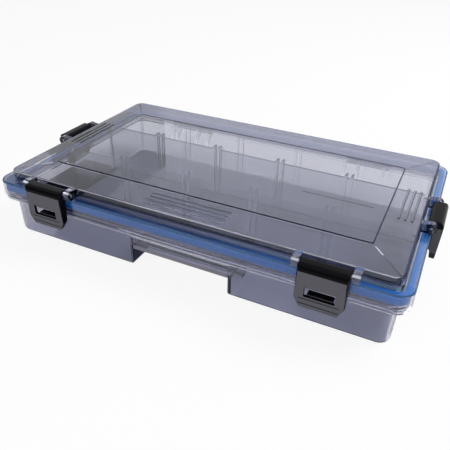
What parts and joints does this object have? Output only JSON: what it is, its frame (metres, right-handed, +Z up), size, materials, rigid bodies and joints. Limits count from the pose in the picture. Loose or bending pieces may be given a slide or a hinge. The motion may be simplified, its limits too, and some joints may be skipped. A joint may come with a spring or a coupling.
{
  "type": "tackle box",
  "caption": "Clear waterproof tackle box: a laned tray under a hinged lid, with a silicone seal, snap latches on the front and ends, and a hand recess.",
  "frame": {"origin": "middle of the box on its underside, in the plane of the foot", "axes": "+X along the box's length to the right, +Y from the front latches to the hinges, +Z up out of the lid"},
  "size_m": [0.3748, 0.2398, 0.0639],
  "materials": {
    "smoke_clear": "clear smoke-grey moulded plastic, polished",
    "seal_blue": "matt blue silicone",
    "latch_black": "black moulded plastic, fine matt face and polished barrel",
    "pin_steel": "darkened steel wire"
  },
  "bodies": {
    "base": {"base_tray": "smoke_clear", "hinge_pin_left": "pin_steel", "hinge_pin_right": "pin_steel"},
    "lid": {"lid": "smoke_clear", "seal_ring": "seal_blue", "latch_pin_front_left": "pin_steel", "latch_pin_front_right": "pin_steel", "latch_pin_left": "pin_steel", "latch_pin_right": "pin_steel"},
    "latch_front_left": {"latch_front_left": "latch_black", "latch_hook_front_left": "latch_black"},
    "latch_front_right": {"latch_front_right": "latch_black", "latch_hook_front_right": "latch_black"},
    "latch_left": {"latch_left": "latch_black", "latch_hook_left": "latch_black"},
    "latch_right": {"latch_right": "latch_black", "latch_hook_right": "latch_black"}
  },
  "joints": [
    {"name": "lid_hinge", "type": "hinge", "parent": "base", "child": "lid", "pos_m": [0, 0.1163, 0.0395], "axis": [-1, 0, 0], "range_deg": [0, 180], "deforming": ["latch_hook_front_left", "latch_hook_front_right", "latch_hook_left", "latch_hook_right"]},
    {"name": "latch_front_left_pivot", "type": "hinge", "parent": "lid", "child": "latch_front_left", "pos_m": [-0.1205, -0.1112, 0.0584], "axis": [-1, 0, 0], "range_deg": [0, 120]},
    {"name": "latch_front_right_pivot", "type": "hinge", "parent": "lid", "child": "latch_front_right", "pos_m": [0.1205, -0.1112, 0.0584], "axis": [-1, 0, 0], "range_deg": [0, 120]},
    {"name": "latch_left_pivot", "type": "hinge", "parent": "lid", "child": "latch_left", "pos_m": [-0.1787, 0, 0.0584], "axis": [0, 1, 0], "range_deg": [0, 120]},
    {"name": "latch_right_pivot", "type": "hinge", "parent": "lid", "child": "latch_right", "pos_m": [0.1787, 0, 0.0584], "axis": [0, -1, 0], "range_deg": [0, 120]}
  ]
}
